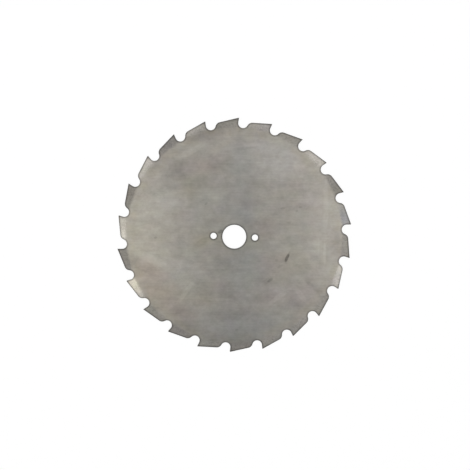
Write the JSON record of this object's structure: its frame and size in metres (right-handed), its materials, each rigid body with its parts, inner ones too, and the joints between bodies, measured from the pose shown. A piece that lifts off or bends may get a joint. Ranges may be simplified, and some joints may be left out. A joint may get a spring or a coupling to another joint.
{
  "type": "brush cutter blade",
  "caption": "Flat steel clearing-saw blade for a brush cutter, with saw teeth ground and set to alternate sides, a central bore and drive pin holes.",
  "frame": {"origin": "on the bore's axis, in the plane that the blade lies on, which touches the points of the teeth that are set downwards", "axes": "+Z along the bore's axis, out of the face seen in the picture; X through both pin holes; seen from +Z the teeth point clockwise"},
  "size_m": [0.198, 0.1998, 0.003],
  "materials": {
    "steel": "ground sheet steel with fine straight brushing, soft mottled stains and darker edges at the teeth"
  },
  "bodies": {
    "root": {"blade": "steel"}
  },
  "joints": []
}
